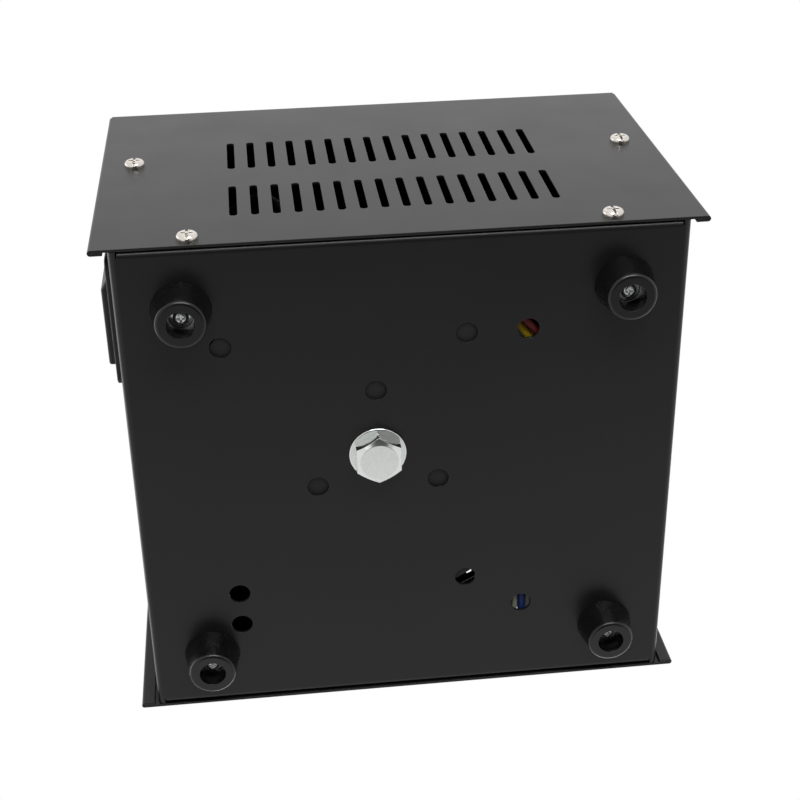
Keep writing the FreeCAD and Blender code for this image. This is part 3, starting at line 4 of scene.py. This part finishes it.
import bpy
from mathutils import Matrix, Vector


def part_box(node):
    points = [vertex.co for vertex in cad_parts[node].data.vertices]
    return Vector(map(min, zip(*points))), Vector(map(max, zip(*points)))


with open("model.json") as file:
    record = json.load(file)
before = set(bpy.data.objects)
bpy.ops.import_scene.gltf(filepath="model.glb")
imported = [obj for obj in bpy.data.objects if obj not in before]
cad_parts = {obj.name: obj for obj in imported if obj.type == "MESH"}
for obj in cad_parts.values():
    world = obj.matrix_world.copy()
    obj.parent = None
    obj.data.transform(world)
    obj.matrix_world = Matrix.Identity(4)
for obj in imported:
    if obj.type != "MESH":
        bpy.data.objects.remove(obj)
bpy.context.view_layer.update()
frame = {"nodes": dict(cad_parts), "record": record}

# The converter stands on its feet. The camera looks up at it from the right, below the floor,
# which is see-through from below.

MM = 0.001


# Camera
CAMERA_LENS = 68.43
CAMERA_SENSOR = 36
CAMERA_PLACE = Vector((0.307952, -0.054748, -0.484249))
CAMERA_RIGHT = Vector((-0.014635, 0.993592, -0.112077))
CAMERA_UP = Vector((0.877222, 0.066552, 0.475449))


def make_camera():
    data = bpy.data.cameras.new("camera")
    data.lens = CAMERA_LENS
    data.sensor_width = CAMERA_SENSOR
    camera = bpy.data.objects.new("camera", data)
    right = CAMERA_RIGHT.normalized()
    back = right.cross(CAMERA_UP).normalized()
    up = back.cross(right)
    turn = Matrix((right, up, back)).transposed().to_4x4()
    camera.matrix_world = Matrix.Translation(CAMERA_PLACE) @ turn
    bpy.context.scene.collection.objects.link(camera)
    bpy.context.scene.camera = camera


# Node helpers. The mix node has one set of sockets for each kind of value, and these are the
# numbers of those it uses for colours.
MIX_FACTOR = 0
MIX_COLOURS = (6, 7)
MIX_COLOUR_RESULT = 2
NOISE_ROUGHNESS = 0.55
EDGE_SAMPLES = 6


class Shader:
    """A node tree of a material or the world, with short ways to add what they share."""

    def __init__(self, name, store="materials", output="ShaderNodeOutputMaterial"):
        self.block = getattr(bpy.data, store).new(name)
        self.block.use_nodes = True
        self.nodes = self.block.node_tree.nodes
        self.links = self.block.node_tree.links
        self.nodes.clear()
        self.output = self.add(output)

    def add(self, kind, inputs=None, **settings):
        node = self.nodes.new(kind)
        for key, value in settings.items():
            setattr(node, key, value)
        for key, value in (inputs or {}).items():
            self.feed(node.inputs[key], value)
        return node

    def feed(self, socket, value):
        if isinstance(value, bpy.types.NodeSocket):
            self.links.new(value, socket)
        else:
            socket.default_value = value

    def principled(self, **inputs):
        names = {key.replace("_", " "): value for key, value in inputs.items()}
        node = self.add("ShaderNodeBsdfPrincipled")
        for socket in node.inputs:
            if socket.name.lower() in names:
                self.feed(socket, names[socket.name.lower()])
        self.links.new(node.outputs["BSDF"], self.output.inputs["Surface"])

    def place(self):
        return self.add("ShaderNodeTexCoord").outputs["Object"]

    def noise(self, size, detail=3.0):
        """Noise whose patches are about that size in millimetres, from 0 to 1."""
        node = self.add(
            "ShaderNodeTexNoise",
            {"Scale": 1 / (size * MM), "Detail": detail, "Roughness": NOISE_ROUGHNESS},
        )
        self.feed(node.inputs["Vector"], self.place())
        return node.outputs["Fac"]

    def math(self, operation, a, b=0.0):
        node = self.add("ShaderNodeMath", operation=operation)
        self.feed(node.inputs[0], a)
        self.feed(node.inputs[1], b)
        return node.outputs[0]

    def vector_math(self, operation, a, b=(0, 0, 0), result="Vector"):
        node = self.add("ShaderNodeVectorMath", operation=operation)
        self.feed(node.inputs[0], a)
        self.feed(node.inputs[1], b)
        return node.outputs[result]

    def spread(self, value, low, high, from_low=0.3, from_high=0.7, curve="LINEAR"):
        """Maps a value onto a range, by default one from the range that noise mostly fills."""
        node = self.add(
            "ShaderNodeMapRange",
            {"From Min": from_low, "From Max": from_high, "To Min": low, "To Max": high},
            interpolation_type=curve,
        )
        self.feed(node.inputs["Value"], value)
        return node.outputs["Result"]

    def blend(self, factor, first, second):
        node = self.add("ShaderNodeMix", data_type="RGBA")
        self.feed(node.inputs[MIX_FACTOR], factor)
        for socket, colour in zip(MIX_COLOURS, (first, second)):
            self.feed(node.inputs[socket], colour)
        return node.outputs[MIX_COLOUR_RESULT]

    def soft_edge(self, radius):
        """The surface's normal with its edges rounded by a radius in millimetres."""
        node = self.add("ShaderNodeBevel", {"Radius": radius * MM}, samples=EDGE_SAMPLES)
        return node.outputs["Normal"]

    def bump(self, height, depth, normal=None):
        """A bump of a depth in millimetres."""
        node = self.add("ShaderNodeBump", {"Strength": 1.0, "Distance": depth * MM})
        self.feed(node.inputs["Height"], height)
        if normal is not None:
            self.feed(node.inputs["Normal"], normal)
        return node.outputs["Normal"]


def grey(level, warmth=0.0):
    return (level * (1 + warmth), level, level * (1 - warmth), 1)


# Materials
def powder_coat():
    """Satin black powder coat with a fine orange peel and a few specks of dust."""
    m = Shader("powder_coat")
    cloud = m.noise(60, detail=2)
    speck = m.spread(m.noise(2.2, detail=1), 0, 1, 0.83, 0.86)
    base = m.blend(cloud, grey(0.0065, -0.02), grey(0.0085, 0.02))
    m.principled(
        base_color=m.blend(speck, base, grey(0.05, 0.05)),
        roughness=m.spread(m.noise(25), 0.28, 0.33),
        specular_ior_level=0.27,
        normal=m.bump(m.noise(0.55, detail=2), 0.005, m.soft_edge(0.35)),
    )
    return m.block


def foot_rubber():
    """Moulded rubber with a smooth skin, a little bloom and dust."""
    m = Shader("foot_rubber")
    bloom = m.noise(7, detail=4)
    speck = m.spread(m.noise(1.1, detail=1), 0, 1, 0.76, 0.8)
    base = m.blend(bloom, grey(0.002), grey(0.0045))
    m.principled(
        base_color=m.blend(speck, base, grey(0.04)),
        roughness=m.spread(bloom, 0.2, 0.3),
        specular_ior_level=0.35,
        normal=m.bump(m.noise(0.8, detail=3), 0.006, m.soft_edge(0.3)),
    )
    return m.block


def bright_zinc():
    """Zinc plate: bright, mottled, with fine rubbing marks."""
    m = Shader("bright_zinc")
    mottle = m.noise(2.5, detail=5)
    m.principled(
        base_color=m.blend(mottle, (0.6, 0.62, 0.605, 1), (0.72, 0.735, 0.72, 1)),
        metallic=1.0,
        roughness=m.spread(m.noise(1.2, detail=6), 0.1, 0.18),
        normal=m.bump(m.noise(0.6, detail=3), 0.002, m.soft_edge(0.25)),
    )
    return m.block


def nickel():
    """Nickel plate: warm and bright over a slightly rough forged head."""
    m = Shader("nickel")
    mottle = m.noise(1.0, detail=4)
    m.principled(
        base_color=m.blend(mottle, (0.55, 0.51, 0.46, 1), (0.8, 0.76, 0.71, 1)),
        metallic=1.0,
        roughness=m.spread(m.noise(0.6, detail=4), 0.14, 0.3),
        normal=m.bump(m.noise(0.7, detail=3), 0.05, m.soft_edge(0.2)),
    )
    return m.block


def black_plastic():
    """Moulded thermoplastic with a fine spark-eroded texture."""
    m = Shader("black_plastic")
    cloud = m.noise(12, detail=3)
    m.principled(
        base_color=m.blend(cloud, grey(0.007), grey(0.011)),
        roughness=m.spread(m.noise(5), 0.42, 0.5),
        specular_ior_level=0.35,
        normal=m.bump(m.noise(0.25, detail=2), 0.01, m.soft_edge(0.25)),
    )
    return m.block


def red_plastic():
    """Clear-tinted red rocker, glossy, its red deeper in some random patches than in others.
    """
    m = Shader("red_plastic")
    cloud = m.noise(9, detail=2)
    m.principled(
        base_color=m.blend(cloud, (0.36, 0.006, 0.006, 1), (0.48, 0.012, 0.01, 1)),
        roughness=m.spread(m.noise(4), 0.12, 0.2),
        coat_weight=0.4,
        coat_roughness=0.06,
        normal=m.bump(m.noise(3, detail=1), 0.01, m.soft_edge(0.4)),
    )
    return m.block


def white_plastic():
    """Moulded ivory-white button, satin from handling."""
    m = Shader("white_plastic")
    cloud = m.noise(4, detail=3)
    m.principled(
        base_color=m.blend(cloud, (0.7, 0.69, 0.65, 1), (0.78, 0.77, 0.73, 1)),
        roughness=m.spread(cloud, 0.25, 0.36),
        normal=m.bump(m.noise(0.5, detail=2), 0.004, m.soft_edge(0.3)),
    )
    return m.block


def brass_contact():
    """Stamped brass with rolling lines and a little tarnish."""
    m = Shader("brass_contact")
    tarnish = m.noise(3, detail=5)
    m.principled(
        base_color=m.blend(tarnish, (0.5, 0.33, 0.13, 1), (0.76, 0.56, 0.26, 1)),
        metallic=1.0,
        roughness=m.spread(tarnish, 0.24, 0.4),
        normal=m.bump(m.noise(0.3, detail=3), 0.006, m.soft_edge(0.1)),
    )
    return m.block


def pad_rubber():
    """Black closed-cell sheet with a fine pebbled skin."""
    m = Shader("pad_rubber")
    cell = m.noise(0.5, detail=3)
    m.principled(
        base_color=m.blend(cell, grey(0.006), grey(0.012)),
        roughness=m.spread(cell, 0.6, 0.8),
        specular_ior_level=0.3,
        normal=m.bump(cell, 0.06),
    )
    return m.block


# The transformer's turns and layers, with the strip's thickness in millimetres
WRAP_TURNS = 64
WRAP_LAP = 0.25
WINDING_TURNS = 250
STRIP_THICKNESS = 0.6


def from_axis(m):
    """The place measured from the bolt, which is the transformer's axis."""
    low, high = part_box("center_bolt")
    return m.vector_math("SUBTRACT", m.place(), (low + high) / 2)


def ring_angle(m, count):
    """Turns about the transformer's axis, counted in stripes."""
    parts = m.add("ShaderNodeSeparateXYZ", {"Vector": from_axis(m)})
    angle = m.math("ARCTAN2", parts.outputs["Y"], parts.outputs["X"])
    return m.math("MULTIPLY", angle, count / tau)


def wrap_film():
    """Black polyester tape wound round the ring in overlapping turns."""
    m = Shader("wrap_film")
    lap = m.math("FRACT", ring_angle(m, WRAP_TURNS))
    base = m.blend(lap, grey(0.012), grey(0.022))
    m.principled(
        base_color=m.blend(m.noise(8), base, grey(0.016)),
        roughness=m.spread(m.noise(3), 0.4, 0.55),
        specular_ior_level=0.3,
        normal=m.bump(m.math("ADD", m.math("MULTIPLY", lap, WRAP_LAP), m.noise(4)), 0.2),
    )
    return m.block


LEAD_DIRT = 0.75


def lead_insulation(name, colour):
    """Extruded insulation, slightly uneven in gloss, with a little dirt in the colour."""
    m = Shader(name)
    cloud = m.noise(5, detail=3)
    darker = tuple(LEAD_DIRT * level for level in colour)
    m.principled(
        base_color=m.blend(cloud, (*darker, 1), (*colour, 1)),
        roughness=m.spread(cloud, 0.45, 0.6),
        specular_ior_level=0.2,
        normal=m.bump(m.noise(1.5, detail=2), 0.03),
    )
    return m.block


# The white, grey, blue and red leads are painted darker than their own colours, as painted
# shade for the dark inside of the housing; the white lead is painted mid grey.
LEAD_COLOURS_WITH_PAINTED_SHADE = {
    "lead_yellow": (0.75, 0.5, 0.025),
    "lead_red": (0.07, 0.004, 0.005),
    "lead_white": (0.25, 0.25, 0.21),
    "lead_blue": (0.007, 0.022, 0.11),
    "lead_grey": (0.12, 0.12, 0.125),
    "lead_black": (0.014, 0.014, 0.015),
}


def enamelled_copper():
    """Rows of enamelled wire lying across the ring. The colour is painted shade between the
    turns and a painted highlight on each turn's crest.
    """
    m = Shader("enamelled_copper")
    turns = m.math("FRACT", ring_angle(m, WINDING_TURNS))
    crest_bump_and_painted_shade = m.math("SINE", m.math("MULTIPLY", turns, pi))
    m.principled(
        # Painted shade and highlight: the copper runs dark between the turns and bright on
        # each crest.
        base_color=m.blend(crest_bump_and_painted_shade, (0.16, 0.04, 0.012, 1), (0.66, 0.25, 0.1, 1)),
        metallic=0.85,
        roughness=m.spread(m.noise(2), 0.22, 0.34),
        coat_weight=0.5,
        coat_roughness=0.1,
        normal=m.bump(crest_bump_and_painted_shade, 0.5),
    )
    return m.block


def core_steel():
    """Silicon-steel strip wound edge on, its layers showing on the flat faces."""
    m = Shader("core_steel")
    flat = m.vector_math("MULTIPLY", from_axis(m), (1, 1, 0))
    radius = m.vector_math("LENGTH", flat, result="Value")
    layer = m.math("FRACT", m.math("MULTIPLY", radius, 1 / (STRIP_THICKNESS * MM)))
    m.principled(
        base_color=m.blend(layer, (0.16, 0.17, 0.19, 1), (0.4, 0.41, 0.43, 1)),
        metallic=0.9,
        roughness=m.spread(m.noise(2), 0.35, 0.5),
        normal=m.bump(layer, 0.06),
    )
    return m.block


def dress_nodes():
    """Each node takes the material of its slot in the record."""
    makers = {
        "powder_coat": powder_coat,
        "foot_rubber": foot_rubber,
        "zinc": bright_zinc,
        "nickel": nickel,
        "black_plastic": black_plastic,
        "red_plastic": red_plastic,
        "white_plastic": white_plastic,
        "brass_contact": brass_contact,
        "pad_rubber": pad_rubber,
        "wrap_film": wrap_film,
        "copper": enamelled_copper,
        "core_steel": core_steel,
    }
    made = {slot: maker() for slot, maker in makers.items()}
    # These lead colours carry painted shade.
    for slot, colour in LEAD_COLOURS_WITH_PAINTED_SHADE.items():
        made[slot] = lead_insulation(slot, colour)
    for row in frame["record"]["subparts"]:
        node = frame["nodes"][row["node"]]
        node.data.materials.clear()
        node.data.materials.append(made[row["material_slot"]])


# Floor and surroundings. The floor lies just under the feet, glows a little near the object
# and turns white between two distances from it.
FLOOR_SIZE = 6.0
FLOOR_DROP = 0.05 * MM
FLOOR_GREY = 0.8
FLOOR_GLOW = 0.6
FLOOR_NEAR = 0.2
FLOOR_FAR = 1.3

# Share of the white that dull surfaces get, and the dim patch below: its direction, its level
# and the angles where it is full and where it ends.
AMBIENT = 0.45
DIM_TOWARDS = (0.1, 0.12, -0.99)
DIM_LEVEL = 0.05
DIM_HEART = radians(22)
DIM_EDGE = radians(40)


def make_floor():
    """A pale floor that keeps the object's shadow. Only the camera sees it, and only from
    above, so that the object mirrors the white surroundings."""
    m = Shader("floor")
    half = FLOOR_SIZE / 2
    mesh = bpy.data.meshes.new("floor")
    corners = [(-half, -half), (half, -half), (half, half), (-half, half)]
    mesh.from_pydata([(x, y, -FLOOR_DROP) for x, y in corners], [], [(0, 1, 2, 3)])
    floor = bpy.data.objects.new("floor", mesh)
    bpy.context.scene.collection.objects.link(floor)
    pale = m.add("ShaderNodeBsdfDiffuse", {"Color": grey(FLOOR_GREY)})
    white = m.add("ShaderNodeEmission", {"Color": grey(1), "Strength": 1.0})
    reach = m.vector_math("LENGTH", m.place(), result="Value")
    glow = m.spread(reach, FLOOR_GLOW, 1.0, FLOOR_NEAR, FLOOR_FAR)
    top = m.add("ShaderNodeMixShader", {"Fac": glow})
    m.links.new(pale.outputs[0], top.inputs[1])
    m.links.new(white.outputs[0], top.inputs[2])
    clear = m.add("ShaderNodeBsdfTransparent")
    front = m.math("SUBTRACT", 1.0, m.add("ShaderNodeNewGeometry").outputs["Backfacing"])
    camera = m.add("ShaderNodeLightPath").outputs["Is Camera Ray"]
    both = m.add("ShaderNodeMixShader", {"Fac": m.math("MULTIPLY", front, camera)})
    m.links.new(clear.outputs[0], both.inputs[1])
    m.links.new(top.outputs[0], both.inputs[2])
    m.links.new(both.outputs[0], m.output.inputs["Surface"])
    floor.data.materials.append(m.block)


def make_world():
    """White all round for the camera. Gloss and dull surfaces get a soft dim patch from below,
    and dull surfaces get less light than the background shows."""
    m = Shader("world", "worlds", "ShaderNodeOutputWorld")
    bpy.context.scene.world = m.block
    direction = m.add("ShaderNodeTexCoord").outputs["Generated"]
    towards = Vector(DIM_TOWARDS).normalized()
    facing = m.vector_math("DOT_PRODUCT", direction, towards, result="Value")
    patch = m.spread(facing, 1.0, DIM_LEVEL, cos(DIM_EDGE), cos(DIM_HEART), "SMOOTHSTEP")
    path = m.add("ShaderNodeLightPath").outputs
    plain = m.math("MAXIMUM", path["Is Camera Ray"], path["Is Transmission Ray"])
    full = m.add("ShaderNodeMix", {"Factor": path["Is Glossy Ray"], "A": AMBIENT, "B": 1.0})
    dimmed = m.math("MULTIPLY", full.outputs["Result"], patch)
    level = m.add("ShaderNodeMix", {"Factor": plain, "A": dimmed, "B": 1.0})
    strength = level.outputs["Result"]
    white = m.add("ShaderNodeBackground", {"Color": grey(1), "Strength": strength})
    m.links.new(white.outputs[0], m.output.inputs["Surface"])


# Lamps: place and size in metres, power in watts. The strip draws the thin highlights on the
# bends and the feet's rims, and the glints light the flats of the bolt's head.
LAMP_TARGET = (0, 0, 0.08)
LAMPS = (
    ("key", (0.85, 0.1, 1.25), (1.4, 1.4), 0.8),
    ("front", (-0.3, -1.5, 0.7), (1.8, 1.4), 8),
    ("left", (-1.4, 0.5, 0.8), (1.4, 1.4), 8),
    ("strip", (1.09, 0.08, -0.52), (0.9, 0.45), 11),
    ("glint left", (0.32, -0.41, -0.856), (0.3, 0.3), 0.1),
    ("glint right", (0.19, 0.48, -0.856), (0.3, 0.3), 0.1),
)


def make_lamp(name, place, size, power):
    data = bpy.data.lights.new(name, "AREA")
    data.shape = "RECTANGLE"
    data.size, data.size_y = size
    data.energy = power
    lamp = bpy.data.objects.new(name, data)
    lamp.location = place
    lamp.visible_camera = False
    back = Vector(place) - Vector(LAMP_TARGET)
    lamp.rotation_euler = back.to_track_quat("Z", "Y").to_euler()
    bpy.context.scene.collection.objects.link(lamp)


make_camera()
dress_nodes()
make_floor()
make_world()
for lamp_row in LAMPS:
    make_lamp(*lamp_row)

scene = bpy.context.scene
scene.view_settings.view_transform = "Standard"
